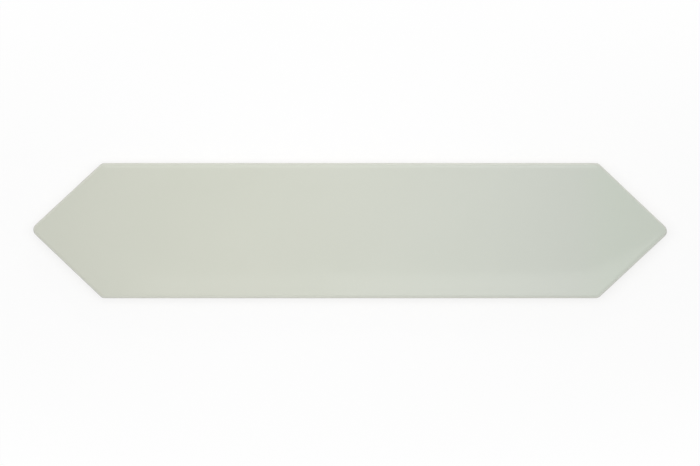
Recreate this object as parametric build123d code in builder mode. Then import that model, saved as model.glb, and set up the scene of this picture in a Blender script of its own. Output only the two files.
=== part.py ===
"""Picket wall tile: one piece of pressed, glazed and fired ceramic.

The tile is an elongated hexagon with a blunt point at each end. It lies glazed face up,
with the bedding plane of its ribbed back on Z = 0 and its length along X.
"""

import os
from math import radians, sin, tan

from build123d import *

# Outline of the face, in millimetres and degrees
tile_length = 250.0  # from tip to tip, over the rounded points
tile_width = 53.4  # across the two long edges
point_slope = 43.2  # angle between an edge of a point and the tile's length
corner_radius = 2.8  # plan rounding of the two points and of the four shoulders

# Section through an edge
tile_thickness = 8.5  # from the glazed face to the bedding plane
face_edge_radius = 1.2  # cushioned arris all round the glazed face
side_land = 3.0  # upper part of the side, which stands square to the face
side_draft = 3.0  # lean of the lower side, in towards the back
back_edge_chamfer = 0.5  # broken edge round the back

# Keying relief pressed into the back
border_width = 4.4  # flat margin between the back's broken edge and the grooves
groove_count = 6  # grooves side by side across the width
rib_width = 2.6  # flat top of the rib between two grooves
groove_depth = 0.8
groove_corner_radius = 0.9  # plan rounding of a groove's corners
groove_draft = 30.0  # lean of a groove's walls

# Sizes that follow from the driving dimensions
slope = radians(point_slope)
sharp_apex = tile_length / 2 + corner_radius * (1 / sin(slope) - 1)
drafted_height = tile_thickness - side_land
draft_inset = drafted_height * tan(radians(side_draft))
groove_field_inset = draft_inset + back_edge_chamfer + border_width
groove_field_width = tile_width - 2 * groove_field_inset
rib_pitch = (groove_field_width + rib_width) / groove_count


def picket_corners(inset):
    """Sharp corners of the picket hexagon with every edge moved in by the inset."""
    half_width = tile_width / 2 - inset
    apex = sharp_apex - inset / sin(slope)
    shoulder = apex - half_width / tan(slope)
    return [
        (apex, 0),
        (shoulder, half_width),
        (-shoulder, half_width),
        (-apex, 0),
        (-shoulder, -half_width),
        (shoulder, -half_width),
    ]


with BuildPart() as picket_tile:
    # Rounded hexagon at the foot of the square land, raised to the face and drafted to the back
    with BuildSketch(Plane.XY.offset(drafted_height)) as outline:
        with BuildLine():
            Polyline(*picket_corners(0), close=True)
        make_face()
        fillet(outline.vertices(), corner_radius)
    extrude(amount=side_land)
    extrude(outline.sketch, amount=-drafted_height, taper=side_draft)

    # Cushioned arris of the glazed face, and the broken edge of the back
    glazed_face = picket_tile.faces().sort_by(Axis.Z)[-1]
    fillet(glazed_face.edges(), face_edge_radius)
    back_face = picket_tile.faces().sort_by(Axis.Z)[0]
    chamfer(back_face.edges(), back_edge_chamfer)

    # Long keying grooves: the field inside the border, less the ribs between them
    with BuildSketch(Plane.XY) as grooves:
        with BuildLine():
            Polyline(*picket_corners(groove_field_inset), close=True)
        make_face()
        with GridLocations(0, rib_pitch, 1, groove_count - 1):
            Rectangle(tile_length, rib_width, mode=Mode.SUBTRACT)
        fillet(grooves.vertices(), groove_corner_radius)
    extrude(amount=groove_depth, taper=groove_draft, mode=Mode.SUBTRACT)

picket_tile.part.label = "picket_tile"

os.makedirs("parts", exist_ok=True)
export_step(picket_tile.part, "parts/picket_tile.step")
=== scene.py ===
"""Dressed picket wall tile, fired as one piece and lying face up on a pale studio floor.

One closed surface carries two finishes. A pale green glaze covers the face, the cushioned edge and the
top of the sides, and stops at an uneven lip. Below the lip the bare fired body runs down the sides and
over the keyed back.
"""

from types import SimpleNamespace
from typing import NamedTuple

import bpy
import numpy as np
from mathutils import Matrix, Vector


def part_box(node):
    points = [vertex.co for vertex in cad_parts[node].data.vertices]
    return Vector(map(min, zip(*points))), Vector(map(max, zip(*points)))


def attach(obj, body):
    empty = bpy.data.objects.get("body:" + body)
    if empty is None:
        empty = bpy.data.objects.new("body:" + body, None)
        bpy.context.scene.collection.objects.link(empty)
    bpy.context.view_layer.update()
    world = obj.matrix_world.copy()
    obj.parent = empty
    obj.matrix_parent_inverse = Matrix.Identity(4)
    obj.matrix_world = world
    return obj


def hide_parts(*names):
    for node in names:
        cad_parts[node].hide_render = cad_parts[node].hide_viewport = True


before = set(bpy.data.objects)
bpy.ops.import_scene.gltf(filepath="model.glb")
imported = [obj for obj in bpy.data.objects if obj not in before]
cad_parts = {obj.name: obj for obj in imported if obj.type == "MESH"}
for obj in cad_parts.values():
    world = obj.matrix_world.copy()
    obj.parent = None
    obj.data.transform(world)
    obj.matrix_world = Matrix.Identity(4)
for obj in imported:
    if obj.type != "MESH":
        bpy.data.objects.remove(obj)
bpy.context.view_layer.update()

MM = 0.001  # the scene is in metres, and small sizes are millimetres times this

# Outline and section of the pressed body
tile_low, tile_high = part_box("picket_tile")
LENGTH = tile_high.x - tile_low.x
WIDTH = tile_high.y - tile_low.y
THICKNESS = tile_high.z - tile_low.z
POINT_SLOPE = np.radians(43.2)  # between an edge of a point and the tile's length
CORNER_RADIUS = 2.8 * MM  # of the six corners, seen from above
FACE_EDGE_RADIUS = 1.2 * MM  # of the cushioned edge round the face
SIDE_LAND = 3.0 * MM  # from the face down to where the side starts to lean in
SIDE_DRAFT = np.radians(3.0)  # lean of the side below the land
BACK_EDGE_CHAMFER = 0.5 * MM

# Keying relief of the back
BORDER_WIDTH = 4.4 * MM
GROOVE_COUNT = 6
RIB_WIDTH = 2.6 * MM
GROOVE_DEPTH = 0.8 * MM
GROOVE_CORNER_RADIUS = 0.9 * MM
GROOVE_DRAFT = np.radians(30.0)
WALL_ROUNDING = 0.12  # how far a groove wall's rounding goes past its top and foot, in wall widths

# What firing does to the pressed body
OUTLINE_WANDER = 0.03 * MM  # how far the fired outline strays inwards
OUTLINE_WAVES = 30  # the stray has fewer than this many waves round the rim
POINT_LEAN = (0.37 * MM, -0.24 * MM)  # how far the left and the right tip are drawn aside

# What glazing adds
EDGE_ROLL = 0.17 * MM  # drop of the face where it meets the outline
EDGE_ROLL_REACH = 11.0 * MM  # how far in from the outline the face starts to drop
FACE_WAVE = 0.1 * MM  # most that the slow waves lower the face
FACE_WAVE_COUNT = 12
FACE_WAVE_LENGTHS = (30, 110)  # millimetres
# The thinned glaze renders paler all round the cushioned edge: partly real thin glaze, partly a painted
# highlight there
EDGE_THINNING_AND_HIGHLIGHT = 0.35  # share of the glaze that runs off the cushioned edge at its thinnest place
THINNEST_TURN = np.radians(48)  # how far round the cushioned edge from the face that place is
THINNING_SPREAD = np.radians(30)
LAND_GLAZE = 0.95  # thickness of the glaze on the land, as a share of that on the face
GLAZE_STEP = 0.16 * MM  # how far the glazed land stands out from the bare side
LIP_HEIGHT = 5.0 * MM  # mean height of the lip above the bedding plane
LIP_WANDER = 0.7 * MM  # how far the lip strays up and down
LIP_WAVES = 90  # the stray has fewer than this many waves round the rim
BARE_DROP = 0.05 * MM  # from the lip down to the first ring on the bare body
MIST_REACH = 1.1 * MM  # how far below the lip the mist of glaze has faded to about a third
SHELF_CONTACT = 0.02 * MM  # what lies lower than this has stood on the kiln shelf

# Seeds of what strays at random
FACE_SEED = 25
LIP_SEED = 26
OUTLINE_SEED = 27

# Sizes that follow
CORE_HALF_WIDTH = WIDTH / 2 - CORNER_RADIUS
CORE_APEX = LENGTH / 2 - CORNER_RADIUS
SHOULDER = CORE_APEX - CORE_HALF_WIDTH / np.tan(POINT_SLOPE)  # from the middle to where a point starts
LAND_FOOT = THICKNESS - SIDE_LAND
GROOVE_WALL = GROOVE_DEPTH * np.tan(GROOVE_DRAFT)
GROOVE_FIELD_INSET = LAND_FOOT * np.tan(SIDE_DRAFT) + BACK_EDGE_CHAMFER + BORDER_WIDTH
RIB_PITCH = (WIDTH - 2 * GROOVE_FIELD_INSET + RIB_WIDTH) / GROOVE_COUNT
GROOVE_WIDTH = RIB_PITCH - RIB_WIDTH
FIELD_START = GROOVE_FIELD_INSET - CORNER_RADIUS  # from the core's edge to the first groove wall

# Rows and columns of the grids over the core
WALL_STEPS = np.array([-0.3, 0.0, 0.33, 0.67, 1.0, 1.3]) * GROOVE_WALL  # from the top of a groove wall
GROOVE_ROWS = np.array([0.3, 0.5, 0.7])  # shares of the groove's width
BORDER_ROWS = np.array([0.0, 0.35, 0.7])  # shares of the way from the core's edge to the grooves
END_COLUMNS = np.array([0.0, 0.8, 1.6]) * MM  # in from the slanting edge, outside the end wall
INNER_COLUMNS = np.array([3.5, 4.2, 5.1, 6.2, 7.6, 9.4, 11.6, 14.0]) * MM  # the same, inside it
MIDDLE_COLUMNS = 130

# Rings of the rim's section, in order from the face to the back
FACE_RINGS = (0.0, 0.5, 1.0)  # shares of the way from the core to the cushioned edge
EDGE_RINGS = 10  # round the cushioned edge
LAND_RINGS = (0.35, 0.7)  # shares of the way down the land to the lip's bead
LIP_BEAD = (  # height above the lip, how far out from the land, and thickness of the glaze
    (0.3 * MM, -0.03 * MM, 1.0),
    (0.16 * MM, 0.0, 1.25),
    (0.06 * MM, -0.01 * MM, 1.3),
    (0.0, -0.05 * MM, 1.1),
    (-0.03 * MM, -0.1 * MM, 0.8),
)
BARE_RINGS = (0.0, 0.04, 0.12, 0.25, 0.45, 0.7, 1.0)  # shares of the way down the bare side
CHAMFER_EASE = 1.12  # how far the broken edge reaches up and in, in chamfers
BROKEN_EDGE = ((0.04, 0.94), (0.5, 0.5), (0.94, 0.04), (CHAMFER_EASE, 0.0))  # in and up, in chamfers
BORDER_RINGS = (0.6, 0.3, 0.0)  # shares of the way from the core to the broken edge
FAN_TURN = np.radians(16)  # most that two steps turn at a corner

# The finishes on the mesh, and where the map holds the patches, in shares of its side
GLAZED, BARE = 0, 1
MAP_MARGIN = 0.02
MAP_LENGTH = 1 - 2 * MAP_MARGIN  # of every patch
FLAT_RISE = 0.4  # height of the face and of the back on the map
FACE_FLOOR = 0.02
BACK_FLOOR = 0.44
STRIP_RISE = 0.05  # height of a strip of the rim on the map
STRIP_FLOORS = (0.86, 0.93)
ROUNDING = 1e-9  # radians that a step's angle may be out by


def row_places():
    """Places of the grid's rows across the width.

    Six rows stand close together over each groove wall, one row runs along each rib and three along each
    groove and each border. The outermost rows are the long edges of the core hexagon.
    """
    inner = RIB_WIDTH / 2 + RIB_PITCH * np.arange(GROOVE_COUNT // 2)
    outer = inner + GROOVE_WIDTH
    walls = np.concatenate([inner[:, None] + WALL_STEPS, outer[:, None] - WALL_STEPS])
    ribs = inner[1:] - RIB_WIDTH / 2
    grooves = inner[:, None] + GROOVE_WIDTH * GROOVE_ROWS
    border = CORE_HALF_WIDTH - FIELD_START * BORDER_ROWS
    half = np.sort(np.concatenate([walls.ravel(), ribs, grooves.ravel(), border]))
    return np.concatenate([-half[::-1], [0.0], half])


def column_places(reach):
    """Places of the grid's columns along the length, for rows that reach out to the given distances.

    Near each end the columns keep a fixed distance from the slanting edge, so they run parallel to it
    and stand close together over the groove's end wall. Between them the rest of a row is shared evenly.
    """
    from_edge = np.concatenate([END_COLUMNS, FIELD_START + WALL_STEPS, INNER_COLUMNS])
    ends = from_edge / np.sin(POINT_SLOPE)
    shares = np.linspace(-1, 1, MIDDLE_COLUMNS + 2)[1:-1]
    left = -reach[:, None] + ends
    middle = (reach - ends[-1])[:, None] * shares
    return np.concatenate([left, middle, -left[:, ::-1]], axis=1)


def core_reach(y):
    """How far the core hexagon reaches along the tile: its apex less |y| over the slope's tangent."""
    return CORE_APEX - np.abs(y) / np.tan(POINT_SLOPE)


def core_grid():
    """Grid over the core hexagon, which is the outline moved in by the corner radius."""
    rows = row_places()
    x = column_places(core_reach(rows))
    y = np.broadcast_to(rows[:, None], x.shape)
    return x, y


def rim_walk(row_count, column_count):
    """One walk round the core hexagon, anticlockwise from the right tip.

    Gives for each step the grid row and column that it stands on and the angle that it faces. Along an
    edge that is the edge's normal. At a corner the angle turns in even steps from one normal to the next,
    an even number of them, so that at a tip one step faces straight out.
    """
    middle = row_count // 2
    up = np.arange(middle, row_count)
    down = up[::-1]
    along = np.arange(column_count)
    top = np.full(column_count, row_count - 1)
    right = np.full(len(up), column_count - 1)
    left = np.zeros(len(up), int)
    tip_facing = np.pi / 2 - POINT_SLOPE
    edges = [
        (up, right, tip_facing),
        (top, along[::-1], np.pi / 2),
        (down, left, np.pi - tip_facing),
        (down - middle, left, np.pi + tip_facing),
        (0 * along, along, 1.5 * np.pi),
        (up - middle, right, 2 * np.pi - tip_facing),
        (up[:1], right[:1], 2 * np.pi),
    ]
    walk_rows, walk_columns, facing = [], [], []
    before = 0.0
    for edge_rows, edge_columns, angle in edges:
        fan_steps = 2 * int(np.ceil((angle - before) / FAN_TURN))
        fan = np.linspace(before, angle, fan_steps, endpoint=False)
        walk_rows += [np.full(fan_steps, edge_rows[0]), edge_rows[:-1]]
        walk_columns += [np.full(fan_steps, edge_columns[0]), edge_columns[:-1]]
        facing += [fan, np.full(len(edge_rows) - 1, angle)]
        before = angle
    return np.concatenate(walk_rows), np.concatenate(walk_columns), np.concatenate(facing)


def closed_wander(share, wave_limit, seed):
    """Seeded random line round the rim that meets itself, between -1 and 1.

    It is a sum of cosine waves that fit a whole number of times round the rim, from three times up to
    the limit. Those that fit more than about 25 times grow weaker with the square of their number.
    """
    coarsest, weaker_from = 3, 25
    chance = np.random.default_rng(seed)
    numbers = np.arange(coarsest, wave_limit)
    sizes = chance.normal(size=len(numbers)) / (1 + (numbers / weaker_from) ** 2)
    phases = chance.uniform(0, 2 * np.pi, len(numbers))
    line = np.cos(2 * np.pi * share[:, None] * numbers + phases) @ sizes
    return line / np.abs(line).max()


def glaze_settling(x, y, from_outline):
    """How far the glazed face lies below the full thickness.

    The mean of seeded plane waves is scaled to lie between nothing and the most that they lower the face.
    Near the outline the face also rolls off with the square of the distance.
    """
    chance = np.random.default_rng(FACE_SEED)
    wave_lengths = chance.uniform(*FACE_WAVE_LENGTHS, FACE_WAVE_COUNT) * MM
    headings = chance.uniform(0, 2 * np.pi, FACE_WAVE_COUNT)
    phases = chance.uniform(0, 2 * np.pi, FACE_WAVE_COUNT)
    across = x[..., None] * np.cos(headings) + y[..., None] * np.sin(headings)
    waves = np.sin(2 * np.pi * across / wave_lengths + phases).mean(-1)
    roll = np.clip(1 - from_outline / EDGE_ROLL_REACH, 0, 1) ** 2
    return FACE_WAVE * (1 + waves) / 2 + EDGE_ROLL * roll


def core_depth(x, y):
    """Distance in from the edges of the core hexagon, rounded off along the mitres.

    The distances to the six edges are raised to the power of -3, added, and raised to that of -1/3. The
    result follows the nearest edge and turns softly where two are equally near.
    """
    power = 3.0
    least = 1e-6 * MM  # keeps the power finite on the edges themselves
    sine, cosine = np.sin(POINT_SLOPE), np.cos(POINT_SLOPE)
    edges = [CORE_HALF_WIDTH - y, CORE_HALF_WIDTH + y]
    edges += [(CORE_APEX - end * x) * sine - side * y * cosine for end in (1, -1) for side in (1, -1)]
    edges = np.maximum(np.stack(edges), least)
    return (edges ** -power).sum(0) ** (-1 / power)


def groove_relief(x, y):
    """Depth of the keying grooves at a point of the back.

    A point's distance into its groove is the smaller of the distances from the long wall and from the
    slanting end, joined by a quarter circle in the corners. The depth follows it over the wall's width
    along a smooth step.
    """
    along_pitch = np.mod(np.abs(y) - RIB_WIDTH / 2, RIB_PITCH)
    from_side = GROOVE_WIDTH / 2 - np.abs(along_pitch - GROOVE_WIDTH / 2)
    from_end = (core_reach(y) - np.abs(x)) * np.sin(POINT_SLOPE) - FIELD_START
    beside = np.maximum(GROOVE_CORNER_RADIUS - from_side, 0)
    behind = np.maximum(GROOVE_CORNER_RADIUS - from_end, 0)
    rounded = GROOVE_CORNER_RADIUS - np.hypot(beside, behind)
    inside = np.where((beside > 0) & (behind > 0), rounded, np.minimum(from_side, from_end))
    step = np.clip((inside / GROOVE_WALL + WALL_ROUNDING) / (1 + 2 * WALL_ROUNDING), 0, 1)
    return GROOVE_DEPTH * step ** 2 * (3 - 2 * step)


def thinned_glaze(turn):
    """Thickness of the glaze round the cushioned edge: full, less a bell curve at its thinnest place,
    where it renders paler, partly as real thin glaze and partly as a painted highlight along the edge.
    """
    return 1 - EDGE_THINNING_AND_HIGHLIGHT * np.exp(-(((turn - THINNEST_TURN) / THINNING_SPREAD) ** 2))


def bare_side(height):
    """How far out from the core the bare side is: upright along the land, then drafted in to the back."""
    return CORNER_RADIUS - GLAZE_STEP - np.maximum(LAND_FOOT - height, 0) * np.tan(SIDE_DRAFT)


def rim_section(lip):
    """Section of the rim at every step of the walk, from the face's edge round to the back.

    For rings in order it gives the distance out from the core hexagon, the height, how much of the
    face's settling the ring follows and how thick the glaze is there. The rings run over the rim of the
    face, round the quarter circle of the cushioned edge, down the glazed land, over the lip's bead, down
    the drafted bare side, round the broken edge and in over the border of the back.
    """
    steps = np.ones_like(lip)
    rings = []

    def add_ring(out, height, follow=0.0, glaze=0.0):
        rings.append([out * steps, height * steps, follow * steps, glaze * steps])

    face_rim = CORNER_RADIUS - FACE_EDGE_RADIUS
    for share in FACE_RINGS:
        add_ring(share * face_rim, THICKNESS, follow=1.0, glaze=1.0)
    for turn in np.linspace(0, np.pi / 2, EDGE_RINGS + 1)[1:]:
        out = face_rim + FACE_EDGE_RADIUS * np.sin(turn)
        height = THICKNESS - FACE_EDGE_RADIUS * (1 - np.cos(turn))
        add_ring(out, height, follow=np.cos(turn), glaze=thinned_glaze(turn))

    land_top = THICKNESS - FACE_EDGE_RADIUS
    bead_rise, bead_out, _ = LIP_BEAD[0]
    for share in LAND_RINGS:
        height = land_top + (lip + bead_rise - land_top) * share
        add_ring(bare_side(height) + GLAZE_STEP + bead_out * share, height, glaze=LAND_GLAZE)
    for rise, out, glaze in LIP_BEAD:
        add_ring(bare_side(lip) + GLAZE_STEP + out, lip + rise, glaze=glaze)

    bare_top = lip - BARE_DROP
    bare_foot = BACK_EDGE_CHAMFER * CHAMFER_EASE
    for share in BARE_RINGS:
        height = bare_top + (bare_foot - bare_top) * share
        add_ring(bare_side(height), height)
    foot = bare_side(0.0)
    for in_share, up_share in BROKEN_EDGE:
        add_ring(foot - BACK_EDGE_CHAMFER * in_share, BACK_EDGE_CHAMFER * up_share)
    for share in BORDER_RINGS:
        add_ring((foot - BACK_EDGE_CHAMFER) * share, 0.0)
    return np.moveaxis(np.array(rings), 0, -1)


def tile_core():
    """The two grids over the core hexagon: their places, the face's height and the back's relief."""
    x, y = core_grid()
    face = THICKNESS - glaze_settling(x, y, CORNER_RADIUS + core_depth(x, y))
    return SimpleNamespace(x=x, y=y, face=face, back=groove_relief(x, y))


def tile_rim(core):
    """The rim between the grids, where its section is carried round the walk.

    A point of the rim is the core's edge plus the section's distance out along the way that the step
    faces, at the section's height. The lip strays up and down and the outline strays in, each by a
    closed line over the share of the way round. Rings that follow the face take on its settling.
    """
    rows, columns, facing = rim_walk(*core.x.shape)
    core_x = core.x[rows, columns][:, None]
    core_y = core.y[rows, columns][:, None]
    ahead = np.cos(facing)[:, None]
    aside = np.sin(facing)[:, None]
    outline = np.hstack([core_x + CORNER_RADIUS * ahead, core_y + CORNER_RADIUS * aside])
    strides = np.hypot(*(np.roll(outline, -1, axis=0) - outline).T)
    round_share = np.concatenate([[0.0], np.cumsum(strides)]) / strides.sum()
    lip = LIP_HEIGHT + LIP_WANDER * closed_wander(round_share[:-1], LIP_WAVES, LIP_SEED)
    stray = OUTLINE_WANDER * (closed_wander(round_share[:-1], OUTLINE_WAVES, OUTLINE_SEED) - 1) / 2
    out, height, follow, glaze = rim_section(lip)
    out = out * (1 + stray / CORNER_RADIUS)[:, None]
    x = core_x + out * ahead
    y = core_y + out * aside
    height = height - follow * glaze_settling(x, y, CORNER_RADIUS - out)
    return SimpleNamespace(
        rows=rows, columns=columns, facing=facing, round_share=round_share,
        x=x, y=y, out=out, height=height, lip=lip, glaze=glaze,
    )


def number_vertices(core, rim):
    """Numbers of the vertices: the face, then the back, then the rings between them.

    The first ring is the edge of the face and the last is the edge of the back, so those two have no
    vertices of their own.
    """
    face = np.arange(core.x.size).reshape(core.x.shape)
    back = face + core.x.size
    step_count, ring_count = rim.x.shape
    rings = np.empty((step_count, ring_count), int)
    rings[:, 0] = face[rim.rows, rim.columns]
    rings[:, -1] = back[rim.rows, rim.columns]
    between = np.arange(step_count * (ring_count - 2)).reshape(step_count, -1)
    rings[:, 1:-1] = 2 * core.x.size + between
    return SimpleNamespace(face=face, back=back, rings=rings)


def at_vertices(on_face, on_back, on_rim):
    """Values at all vertices in the order of their numbers."""
    return np.concatenate([on_face.ravel(), on_back.ravel(), on_rim[:, 1:-1].ravel()])


def fired_lean(x):
    """How far firing has moved the tile aside: not at all between the shoulders, then evenly to a tip."""
    left_lean, right_lean = POINT_LEAN
    half = LENGTH / 2
    return np.interp(x, [-half, -SHOULDER, SHOULDER, half], [left_lean, 0.0, 0.0, right_lean])


def vertex_places(core, rim):
    """Places of all vertices, with the points drawn aside by firing."""
    x = at_vertices(core.x, core.x, rim.x)
    y = at_vertices(core.y, core.y, rim.y) + fired_lean(x)
    z = at_vertices(core.face, core.back, rim.height)
    return np.stack([x, y, z], axis=1)


def surface_marks(core, rim):
    """Marks that the finishes read at each vertex.

    They are the thickness of the glaze, the mist of glaze that fades down the bare side from the lip, and
    the kiln wash, which covers what stood on the shelf and fades out down the groove walls.
    """
    full = np.ones_like(core.x)
    none = np.zeros_like(core.x)
    below_lip = np.clip(rim.lip[:, None] - rim.height, 0, None)
    mist = (rim.glaze == 0) * np.exp(-below_lip / MIST_REACH)
    on_shelf = (rim.height < SHELF_CONTACT) * 1.0
    return {
        "glaze_depth": at_vertices(full, none, rim.glaze),
        "overspray": at_vertices(none, none, mist),
        "kiln_wash": at_vertices(none, 1 - core.back / GROOVE_DEPTH, on_shelf),
    }


def flat_map(x, y, floor):
    """Places on the map of a flat patch, which keeps its shape in plan and stands on the given floor."""
    across = 0.5 + MAP_LENGTH * x / LENGTH
    upward = floor + FLAT_RISE / 2 + FLAT_RISE * y / WIDTH
    return np.stack([across, upward], axis=2)


def strip_map(round_share, down_share, floor):
    """Places on the map of a strip of the rim: along by the way round, down by the way to the back."""
    along = (round_share - round_share[0]) / (round_share[-1] - round_share[0])
    across = MAP_MARGIN + MAP_LENGTH * along[:, None]
    upward = floor + STRIP_RISE * (1 - down_share[None, :])
    return np.stack(np.broadcast_arrays(across, upward), axis=2)


def surface_patches(core, rim, numbers):
    """Patches of the surface: each a grid of vertices, its places on the map and its finish.

    A patch lies on the map as it is seen from outside. The face and the back lie flat, with the rings
    that carry them on. The rings between are cut at the two tips into two strips.
    """
    ring_count = rim.x.shape[1]
    edge_start = len(FACE_RINGS) - 1
    last_glazed = int(np.argmax(rim.glaze[0] == 0)) - 1
    border_start = ring_count - len(BORDER_RINGS) - 1
    rings = np.vstack([numbers.rings, numbers.rings[:1]])
    x = np.vstack([rim.x, rim.x[:1]])
    y = np.vstack([rim.y, rim.y[:1]])
    over_face = slice(0, edge_start + 1)
    over_back = slice(border_start, ring_count)
    patches = [
        (numbers.face, flat_map(core.x, core.y, FACE_FLOOR), GLAZED),
        (numbers.back[:, ::-1], flat_map(-core.x, core.y, BACK_FLOOR)[:, ::-1], BARE),
        (rings[:, over_face], flat_map(x, y, FACE_FLOOR)[:, over_face], GLAZED),
        (rings[:, over_back], flat_map(-x, y, BACK_FLOOR)[:, over_back], BARE),
    ]

    outward = np.diff(rim.out[0], prepend=0.0)
    upward = np.diff(rim.height[0], prepend=rim.height[0, 0])
    fall = np.cumsum(np.hypot(outward, upward))
    down_share = (fall - fall[edge_start]) / (fall[border_start] - fall[edge_start])
    left_tip = int(np.searchsorted(rim.facing, np.pi - ROUNDING))
    strips = (slice(0, left_tip + 1), slice(left_tip, None))
    glazed = slice(edge_start, last_glazed + 1)
    bare = slice(last_glazed, border_start + 1)
    for steps, floor in zip(strips, STRIP_FLOORS):
        strip = strip_map(rim.round_share[steps], down_share, floor)
        patches.append((rings[steps, glazed], strip[:, glazed], GLAZED))
        patches.append((rings[steps, bare], strip[:, bare], BARE))
    return patches


def grid_faces(index):
    """Corners of the four-sided faces between neighbours in a grid of vertices or of map places."""
    return np.stack([index[:-1, :-1], index[:-1, 1:], index[1:, 1:], index[1:, :-1]], axis=2)


def split_faces(patches):
    """Faces of all patches as four-sided and three-sided rows, with their map places and finishes.

    Where a fan of the walk stands on one corner of the core, two corners of a face are the same vertex.
    Such a face keeps its three different corners.
    """
    corners = np.concatenate([grid_faces(index).reshape(-1, 4) for index, _, _ in patches])
    map_places = np.concatenate([grid_faces(places).reshape(-1, 4, 2) for _, places, _ in patches])
    finishes = np.concatenate(
        [np.full((len(index) - 1) * (index.shape[1] - 1), finish) for index, _, finish in patches]
    )
    shut_in = corners[:, 0] == corners[:, 3]
    shut_out = corners[:, 1] == corners[:, 2]
    whole = ~(shut_in | shut_out)
    kinds = [(whole, [0, 1, 2, 3]), (shut_in, [0, 1, 2]), (shut_out, [0, 1, 3])]
    faces = [row for kind, keep in kinds for row in corners[kind][:, keep].tolist()]
    map_rows = np.concatenate([map_places[kind][:, keep].reshape(-1, 2) for kind, keep in kinds])
    return faces, map_rows, np.concatenate([finishes[kind] for kind, _ in kinds])


def build_tile(finishes):
    """The tile as one mesh object at the origin, with its finishes, its map and its surface marks."""
    core = tile_core()
    rim = tile_rim(core)
    patches = surface_patches(core, rim, number_vertices(core, rim))
    faces, map_rows, face_finishes = split_faces(patches)
    mesh = bpy.data.meshes.new("glazed_tile")
    mesh.from_pydata(vertex_places(core, rim), [], faces)
    mesh.polygons.foreach_set("material_index", face_finishes.astype(np.int32))
    mesh.polygons.foreach_set("use_smooth", np.ones(len(faces), bool))
    mesh.uv_layers.new(name="OFBake").uv.foreach_set("vector", map_rows.astype(np.float32).ravel())
    for name, values in surface_marks(core, rim).items():
        mesh.attributes.new(name, "FLOAT", "POINT").data.foreach_set("value", values.astype(np.float32))
    for finish in finishes:
        mesh.materials.append(finish)
    mesh.update()
    tile = bpy.data.objects.new("glazed_tile", mesh)
    bpy.context.scene.collection.objects.link(tile)
    return tile


def add_node(tree, kind, settings=None, **inputs):
    """Adds a shader node, with its settings and its inputs.

    An input is named by its label, with _ for a space, or by its number, as in _0. It is given a value or
    another node's output.
    """
    made = tree.nodes.new(kind)
    for name, value in (settings or {}).items():
        setattr(made, name, value)
    for name, value in inputs.items():
        number = name[1:]
        socket = made.inputs[int(number) if number.isdigit() else name.replace("_", " ")]
        if isinstance(value, bpy.types.NodeSocket):
            tree.links.new(value, socket)
        else:
            socket.default_value = value
    return made


def maths(tree, operation, first, second, clamp=False):
    """Output of a math node on two numbers or outputs."""
    settings = {"operation": operation, "use_clamp": clamp}
    return add_node(tree, "ShaderNodeMath", settings, _0=first, _1=second).outputs[0]


def ramp(tree, value, low, high, to_low=0.0, to_high=1.0):
    """Output that goes smoothly from one number to another as the value goes from low to high."""
    made = add_node(
        tree, "ShaderNodeMapRange", {"interpolation_type": "SMOOTHSTEP"},
        Value=value, From_Min=low, From_Max=high, To_Min=to_low, To_Max=to_high,
    )
    return made.outputs["Result"]


def blend(tree, share, first, second, kind="MIX"):
    """Colour output that goes by the share from the first colour to the second, or to their product."""
    settings = {"data_type": "RGBA", "blend_type": kind}
    return add_node(tree, "ShaderNodeMix", settings, _0=share, _6=first, _7=second).outputs[2]


def grain(tree, where, scale, detail, roughness=0.5):
    """Output of a noise texture whose features are about one over the scale across."""
    made = add_node(
        tree, "ShaderNodeTexNoise", Vector=where, Scale=scale, Detail=detail, Roughness=roughness
    )
    return made.outputs["Fac"]


class Layer(NamedTuple):
    """A layer of noise in a finish."""

    scale: float  # features to the metre
    detail: float  # how many finer octaves it has
    sets_in: tuple  # noise values at which the layer starts to show and shows in full
    share: float  # how much of it shows then
    roughness: float = 0.5  # how strong those are


def layer_share(tree, where, layer):
    """Output of how much of a layer shows."""
    noise = grain(tree, where, layer.scale, layer.detail, layer.roughness)
    return ramp(tree, noise, *layer.sets_in, 0.0, layer.share)


def mark(tree, name):
    """Output of one of the tile's own surface marks."""
    return add_node(tree, "ShaderNodeAttribute", {"attribute_name": name}).outputs["Fac"]


def add_bump(tree, shader, height, depth):
    """Bump of the given depth on the shader, from a height output."""
    bump = add_node(tree, "ShaderNodeBump", Strength=1.0, Distance=depth, Height=height)
    tree.links.new(bump.outputs["Normal"], shader.inputs["Normal"])


def new_finish(name):
    """An empty material with a Principled shader, its node tree and the tile's own coordinates."""
    finish = bpy.data.materials.new(name)
    finish.use_nodes = True
    tree = finish.node_tree
    shader = tree.nodes["Principled BSDF"]
    where = add_node(tree, "ShaderNodeTexCoord").outputs["Object"]
    return finish, tree, shader, where


def colour(red, green, blue):
    """A colour socket's value, in linear light."""
    return (red, green, blue, 1.0)


CERAMIC_IOR = 1.5

# The glaze, with scales in features to the metre
GLAZE_WARM = colour(0.605, 0.620, 0.537)
GLAZE_COOL = colour(0.592, 0.620, 0.562)
GLAZE_LEAFY = colour(0.582, 0.624, 0.551)
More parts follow.
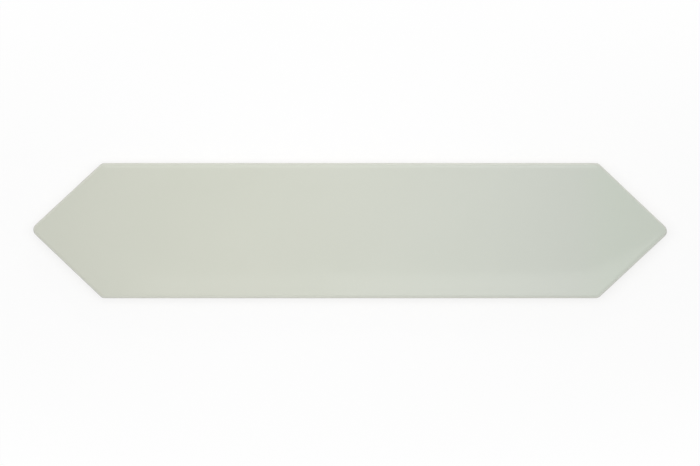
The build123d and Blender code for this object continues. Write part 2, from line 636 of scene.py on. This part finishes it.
# Pale colour of thin glaze, also used for specks; over the cushioned edge it is partly a painted
# highlight
PALE_GLAZE_AND_HIGHLIGHT = colour(0.700, 0.705, 0.635)
GLAZE_POOLED = colour(0.520, 0.560, 0.470)
GLAZE_SHADE = colour(0.965, 0.975, 0.965)  # what the deeper clouds of the glaze keep of its colour
GLAZE_DRIFT = (-0.07, 0.11)  # metres along the tile over which the glaze goes from warm to cool
LEAFY_DRIFT = (0.084, 0.106)  # the same from cool to a little greener, close to one point
GLAZE_CLOUDS = Layer(16.0, 2.0, (0.3, 0.7), 0.45)
GLAZE_SPECKS = Layer(1500.0, 1.0, (0.62, 0.78), 0.12)
THIN_DEPTHS = (1.0, 0.5)  # thickness at which the glaze starts to look thin, and looks so in full
POOLED_DEPTHS = (1.0, 1.3)  # the same for looking pooled
GLOSS_SCALE = 60.0
GLOSS_NOISE = (0.3, 0.7)  # noise values at which the glaze is least and most rough
GLAZE_ROUGHNESS = (0.05, 0.085)
PEEL_SCALE = 260.0
FINE_PEEL_SCALE = 900.0
FINE_PEEL_SHARE = 0.25
PEEL_DEPTH = 0.012 * MM


def pale_green_glaze():
    """Glossy pale green glaze, a little cooler towards one end and greener close to that point.

    It is faintly clouded and specked, paler where it runs thin over the edge, which is partly a painted
    highlight along the edge, and deeper where it pools at the lip. Its skin has a slight orange peel.
    """
    finish, tree, shader, where = new_finish("pale_green_glaze")
    along = add_node(tree, "ShaderNodeSeparateXYZ", Vector=where).outputs["X"]
    body = blend(tree, ramp(tree, along, *GLAZE_DRIFT), GLAZE_WARM, GLAZE_COOL)
    body = blend(tree, ramp(tree, along, *LEAFY_DRIFT), body, GLAZE_LEAFY)
    body = blend(tree, layer_share(tree, where, GLAZE_CLOUDS), body, GLAZE_SHADE, "MULTIPLY")
    depth = mark(tree, "glaze_depth")
    # Paler where the glaze is thin: partly real thin glaze, partly a painted highlight along the
    # cushioned edge
    body = blend(tree, ramp(tree, depth, *THIN_DEPTHS), body, PALE_GLAZE_AND_HIGHLIGHT)
    body = blend(tree, ramp(tree, depth, *POOLED_DEPTHS), body, GLAZE_POOLED)
    body = blend(tree, layer_share(tree, where, GLAZE_SPECKS), body, PALE_GLAZE_AND_HIGHLIGHT)
    tree.links.new(body, shader.inputs["Base Color"])
    gloss_patches = grain(tree, where, GLOSS_SCALE, detail=2.0)
    roughness = ramp(tree, gloss_patches, *GLOSS_NOISE, *GLAZE_ROUGHNESS)
    tree.links.new(roughness, shader.inputs["Roughness"])
    shader.inputs["IOR"].default_value = CERAMIC_IOR
    fine = grain(tree, where, FINE_PEEL_SCALE, detail=1.0)
    fine_peel = maths(tree, "MULTIPLY", fine, FINE_PEEL_SHARE)
    peel = maths(tree, "ADD", grain(tree, where, PEEL_SCALE, detail=1.0), fine_peel)
    add_bump(tree, shader, peel, PEEL_DEPTH)
    return finish


# The bare body, with scales in features to the metre
BODY_CREAM = colour(0.740, 0.680, 0.580)
BODY_BUFF = colour(0.660, 0.590, 0.480)
BODY_FLECK = colour(0.360, 0.290, 0.220)
KILN_WASH = colour(0.830, 0.820, 0.790)
BODY_CLOUDS = Layer(45.0, 4.0, (0.35, 0.7), 1.0)
BODY_SAND = Layer(2200.0, 2.0, (0.3, 0.7), 0.35, roughness=0.6)
BODY_FLECKS = Layer(1100.0, 1.0, (0.74, 0.8), 0.5)
BRUSH_SCALE = (110.0, 240.0, 110.0)  # finer across the tile than along it
BRUSH_NOISE = (0.3, 0.62)  # noise values at which the brush leaves least and most
BRUSH_COVER = (0.25, 1.0)  # the least and the most that it leaves
WASH_SHARE = 0.8
DROPLET_SCALE = 1300.0
DROPLET_NOISE = (0.66, 0.74)  # noise values at the rim of a droplet and where it is full
MIST_LIFT = 0.32  # how much the mist adds to the noise of the droplets at the lip
BODY_ROUGHNESS = 0.92
MIST_ROUGHNESS = 0.4
TOOTH_SCALE = 1800.0
COARSE_TOOTH_SCALE = 420.0
COARSE_TOOTH_SHARE = 1.5
TOOTH_DEPTH = 0.06 * MM


def bare_fired_body():
    """Dry cream body with buff clouds, sand and iron flecks.

    The ribs and the border carry chalky kiln wash in brush strokes, and droplets of glaze mist lie on the
    side under the lip.
    """
    finish, tree, shader, where = new_finish("bare_fired_body")
    body = blend(tree, layer_share(tree, where, BODY_CLOUDS), BODY_CREAM, BODY_BUFF)
    body = blend(tree, layer_share(tree, where, BODY_SAND), body, BODY_BUFF)
    body = blend(tree, layer_share(tree, where, BODY_FLECKS), body, BODY_FLECK)
    brushed = add_node(
        tree, "ShaderNodeMapping", {"vector_type": "POINT"}, Vector=where, Scale=BRUSH_SCALE
    ).outputs["Vector"]
    bristles = grain(tree, brushed, 1.0, detail=5.0, roughness=0.65)
    strokes = ramp(tree, bristles, *BRUSH_NOISE, *BRUSH_COVER)
    wash = maths(tree, "MULTIPLY", mark(tree, "kiln_wash"), strokes)
    body = blend(tree, maths(tree, "MULTIPLY", wash, WASH_SHARE), body, KILN_WASH)
    lift = maths(tree, "MULTIPLY", mark(tree, "overspray"), MIST_LIFT)
    droplets = maths(tree, "ADD", grain(tree, where, DROPLET_SCALE, detail=2.0), lift)
    mist = ramp(tree, droplets, *DROPLET_NOISE)
    body = blend(tree, mist, body, GLAZE_WARM)
    tree.links.new(body, shader.inputs["Base Color"])
    roughness = ramp(tree, mist, 0.0, 1.0, BODY_ROUGHNESS, MIST_ROUGHNESS)
    tree.links.new(roughness, shader.inputs["Roughness"])
    shader.inputs["IOR"].default_value = CERAMIC_IOR
    coarse = grain(tree, where, COARSE_TOOTH_SCALE, detail=2.0)
    coarse_tooth = maths(tree, "MULTIPLY", coarse, COARSE_TOOTH_SHARE)
    fine_tooth = grain(tree, where, TOOTH_SCALE, detail=3.0, roughness=0.6)
    add_bump(tree, shader, maths(tree, "ADD", fine_tooth, coarse_tooth), TOOTH_DEPTH)
    return finish


FLOOR_SIZE = 8.0  # metres
FLOOR_DROP = 0.05 * MM  # keeps the floor clear of the bedding plane
FLOOR_WHITE = colour(0.95, 0.95, 0.95)
SHADOW_SHARE = 0.24  # how much of the floor's brightness near the tile is light that a shadow can take
SHADOW_REACH = (0.03, 0.13)  # metres across from the tile's middle between which that share fades out
SHADOW_STRETCH = 0.4  # what a metre along the tile counts for in that fading


def white_rays(tree):
    """One for rays of the camera, a reflection or a transmission, which all see the white background."""
    path = add_node(tree, "ShaderNodeLightPath").outputs
    seen = maths(tree, "ADD", path["Is Camera Ray"], path["Is Glossy Ray"])
    return maths(tree, "ADD", seen, path["Is Transmission Ray"], clamp=True)


def pale_floor():
    """Flat white floor that keeps the tile's shadow and goes over to plain white further out."""
    half = FLOOR_SIZE / 2
    mesh = bpy.data.meshes.new("floor")
    corners = np.array([(-half, -half), (half, -half), (half, half), (-half, half)])
    mesh.from_pydata(np.column_stack([corners, np.full(4, -FLOOR_DROP)]), [], [(0, 1, 2, 3)])
    floor = bpy.data.objects.new("floor", mesh)
    bpy.context.scene.collection.objects.link(floor)

    finish, tree, shader, where = new_finish("pale_floor")
    shader.inputs["Base Color"].default_value = FLOOR_WHITE
    shader.inputs["Roughness"].default_value = 1.0
    shader.inputs["Specular IOR Level"].default_value = 0.0
    drawn_in = add_node(
        tree, "ShaderNodeVectorMath", {"operation": "MULTIPLY"}, _0=where, _1=(SHADOW_STRETCH, 1.0, 1.0)
    ).outputs["Vector"]
    away = add_node(tree, "ShaderNodeVectorMath", {"operation": "LENGTH"}, _0=drawn_in).outputs["Value"]
    white_share = ramp(tree, away, *SHADOW_REACH, 1 - SHADOW_SHARE, 1.0)
    white = add_node(tree, "ShaderNodeEmission", Strength=1.0)
    shown_white = maths(tree, "MULTIPLY", white_rays(tree), white_share)
    both = add_node(tree, "ShaderNodeMixShader", _0=shown_white)
    tree.links.new(shader.outputs["BSDF"], both.inputs[1])
    tree.links.new(white.outputs["Emission"], both.inputs[2])
    tree.links.new(both.outputs["Shader"], tree.nodes["Material Output"].inputs["Surface"])
    mesh.materials.append(finish)


WORLD_FILL = 0.48  # even light from all round, as a share of white


def studio_world():
    """Even white surroundings: white to look at and in reflections, weaker as a light."""
    world = bpy.data.worlds.new("studio")
    world.use_nodes = True
    tree = world.node_tree
    strength = ramp(tree, white_rays(tree), 0.0, 1.0, WORLD_FILL, 1.0)
    tree.links.new(strength, tree.nodes["Background"].inputs["Strength"])
    tree.nodes["Background"].inputs["Color"].default_value = colour(1.0, 1.0, 1.0)
    bpy.context.scene.world = world


# Places and sizes of the lamps in metres. A level is how bright a lamp's face is, as a share of white
OVERHEAD_PLACE = (-0.014, 0.02, 0.29)
OVERHEAD_SIZE = (0.24, 0.16)
OVERHEAD_LEVEL = 3.64
STRIP_HEIGHT = 1.2
STRIPS = {  # place over the floor, size and level
    "near_left_strip": ((-0.115, -0.16), (0.19, 0.22), 0.5),
    "near_right_strip": ((0.17, -0.16), (0.38, 0.22), 0.87),
    "far_strip": ((0.0, 0.24), (0.6, 0.2), 1.2),
}
FAR_PLACE = (0.3, 1.27, 0.65)
FAR_SIZE = (0.9, 0.4)
FAR_LEVEL = 1.9
RING_SOFTBOXES = 12  # in each ring
RING_DISTANCE = 1.3
SOFTBOX_RINGS = {  # degrees from the tile's length to the first softbox, height, size and level
    "low_softbox": (7, 0.25, (0.28, 0.36), 0.4),
    "high_softbox": (-8, 0.78, (0.32, 0.55), 0.9),
}
TILE_PLACE = (0, 0, 0)


def softbox(name, place, aim, size, level, as_light=True, in_reflections=True):
    """Rectangular lamp at a place, turned to its aim."""
    lamp = bpy.data.lights.new(name, "AREA")
    lamp.shape = "RECTANGLE"
    lamp.size, lamp.size_y = size
    lamp.energy = level * np.pi * size[0] * size[1]
    box = bpy.data.objects.new(name, lamp)
    bpy.context.scene.collection.objects.link(box)
    box.location = place
    box.rotation_euler = (Vector(aim) - Vector(place)).to_track_quat("-Z", "Y").to_euler()
    box.visible_camera = False
    box.visible_diffuse = as_light
    box.visible_glossy = in_reflections


def softbox_ring(name, start, height, size, level):
    """Softboxes in a ring round the tile, which show in its gloss and don't light it."""
    for number in range(RING_SOFTBOXES):
        heading = np.radians(start + number * 360 / RING_SOFTBOXES)
        place = (RING_DISTANCE * np.cos(heading), RING_DISTANCE * np.sin(heading), height)
        softbox(f"{name}_{number + 1}", place, TILE_PLACE, size, level, as_light=False)


def studio_lamps():
    """Soft lamps: one close overhead, strips above the long edges, a far softbox and two rings.

    The overhead lamp stands close, a little left of the middle and towards the far side, so the ends of
    the tile get a little less light. The strips show as paler bands where the face rolls off towards its
    long edges. Two stand end to end on the near side, the right one brighter. The far softbox lightens
    the far edge. The rings show as pale patches in the gloss when the tile is seen from the side.
    """
    straight_down = (*OVERHEAD_PLACE[:2], 0)
    softbox(
        "overhead_softbox", OVERHEAD_PLACE, straight_down, OVERHEAD_SIZE, OVERHEAD_LEVEL,
        in_reflections=False,
    )
    for name, (above, size, level) in STRIPS.items():
        softbox(name, (*above, STRIP_HEIGHT), (*above, 0), size, level)
    softbox("far_softbox", FAR_PLACE, TILE_PLACE, FAR_SIZE, FAR_LEVEL, in_reflections=False)
    for name, ring in SOFTBOX_RINGS.items():
        softbox_ring(name, *ring)


FRAME_WIDTH = 700  # pixels of the picture
PICTURE_MIDDLE = (350.0, 233.0)
TILE_MIDDLE = (350.1, 230.6)  # where the picture shows the middle of the tile's outline
TILE_SPAN = 633.6  # pixels from tip to tip
LENS, SENSOR = 100.0, 36.0  # millimetres


def overhead_camera():
    """Camera straight above the tile, far enough to give it the width it has in the picture.

    The outline is seen at the foot of the cushioned edge, so that height carries the measured span.
    """
    outline_height = THICKNESS - FACE_EDGE_RADIUS
    pixel = LENGTH / TILE_SPAN
    data = bpy.data.cameras.new("overhead_camera")
    data.lens = LENS
    data.sensor_width = SENSOR
    camera = bpy.data.objects.new("overhead_camera", data)
    bpy.context.scene.collection.objects.link(camera)
    camera.location = (
        (PICTURE_MIDDLE[0] - TILE_MIDDLE[0]) * pixel,
        (TILE_MIDDLE[1] - PICTURE_MIDDLE[1]) * pixel,
        outline_height + FRAME_WIDTH * pixel * LENS / SENSOR,
    )
    bpy.context.scene.camera = camera


bpy.context.scene.view_settings.view_transform = "Standard"
overhead_camera()
tile = build_tile([pale_green_glaze(), bare_fired_body()])
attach(tile, "root")
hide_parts("picket_tile")
pale_floor()
studio_world()
studio_lamps()
